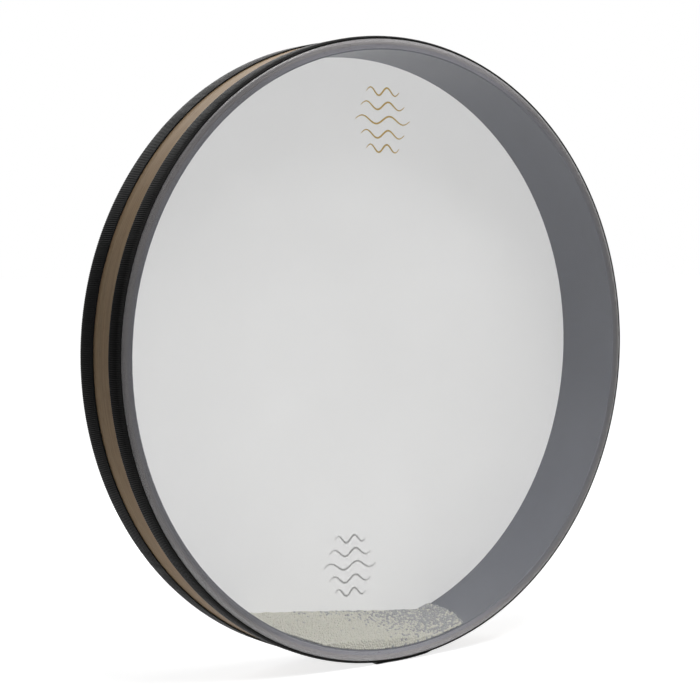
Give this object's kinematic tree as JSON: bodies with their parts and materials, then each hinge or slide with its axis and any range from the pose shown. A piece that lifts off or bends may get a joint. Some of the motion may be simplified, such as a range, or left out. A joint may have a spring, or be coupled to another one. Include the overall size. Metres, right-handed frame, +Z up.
{
  "type": "ocean drum",
  "caption": "Shallow round ocean drum: a laminated wooden frame with a clear front head, a white back head, taped rims and loose steel pellets that run round inside.",
  "frame": {"origin": "lowest point of the rim, on the floor, midway between the two heads", "axes": "+Z up, +Y along the drum's axis from the clear front head to the white back head, +X to the right seen from the front"},
  "size_m": [0.5612, 0.0718, 0.5621],
  "materials": {
    "tan_wood": "natural wood under satin lacquer",
    "ply_wood": "sanded edge, thin grey wash",
    "grey_wood": "satin grey paint",
    "clear_film": "clear polyester film",
    "white_film": "white frosted polyester film",
    "ribbed_tape": "black ribbed woven tape",
    "pellet_steel": "plated steel shot"
  },
  "bodies": {
    "drum": {"outer_veneer": "tan_wood", "core_ply_1": "ply_wood", "core_ply_2": "ply_wood", "core_ply_3": "ply_wood", "core_ply_4": "ply_wood", "core_ply_5": "ply_wood", "inner_veneer": "grey_wood", "front_head": "clear_film", "back_head": "white_film", "front_tape": "ribbed_tape", "back_tape": "ribbed_tape"},
    "pellet_heap": {"pellet_bed": "pellet_steel", "loose_pellets": "pellet_steel"}
  },
  "joints": [
    {"name": "heap_roll", "type": "hinge", "parent": "drum", "child": "pellet_heap", "pos_m": [0, 0, 0.28145], "axis": [0, 1, 0], "continuous": true}
  ]
}
